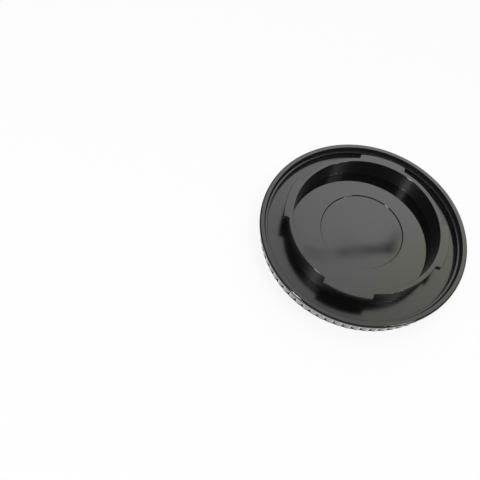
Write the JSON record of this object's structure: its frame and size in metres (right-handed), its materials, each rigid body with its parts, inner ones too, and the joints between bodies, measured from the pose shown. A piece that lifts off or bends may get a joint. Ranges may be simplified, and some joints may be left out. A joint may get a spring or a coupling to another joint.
{
  "type": "camera body cap",
  "caption": "Round one-piece plastic cap with a raised bayonet collar and lugs inside a rim with a ribbed grip, for closing a camera's lens mount.",
  "frame": {"origin": "middle of the underside, in the plane that the cap rests on", "axes": "+Z along the cap's axis, from the plain outer face to the bayonet side; the lugs are centred at 45 degrees from +X and every 90 degrees on"},
  "size_m": [0.062, 0.062, 0.0083],
  "materials": {
    "black_plastic": "smooth glossy black moulded plastic"
  },
  "bodies": {
    "root": {"body_cap": "black_plastic"}
  },
  "joints": []
}
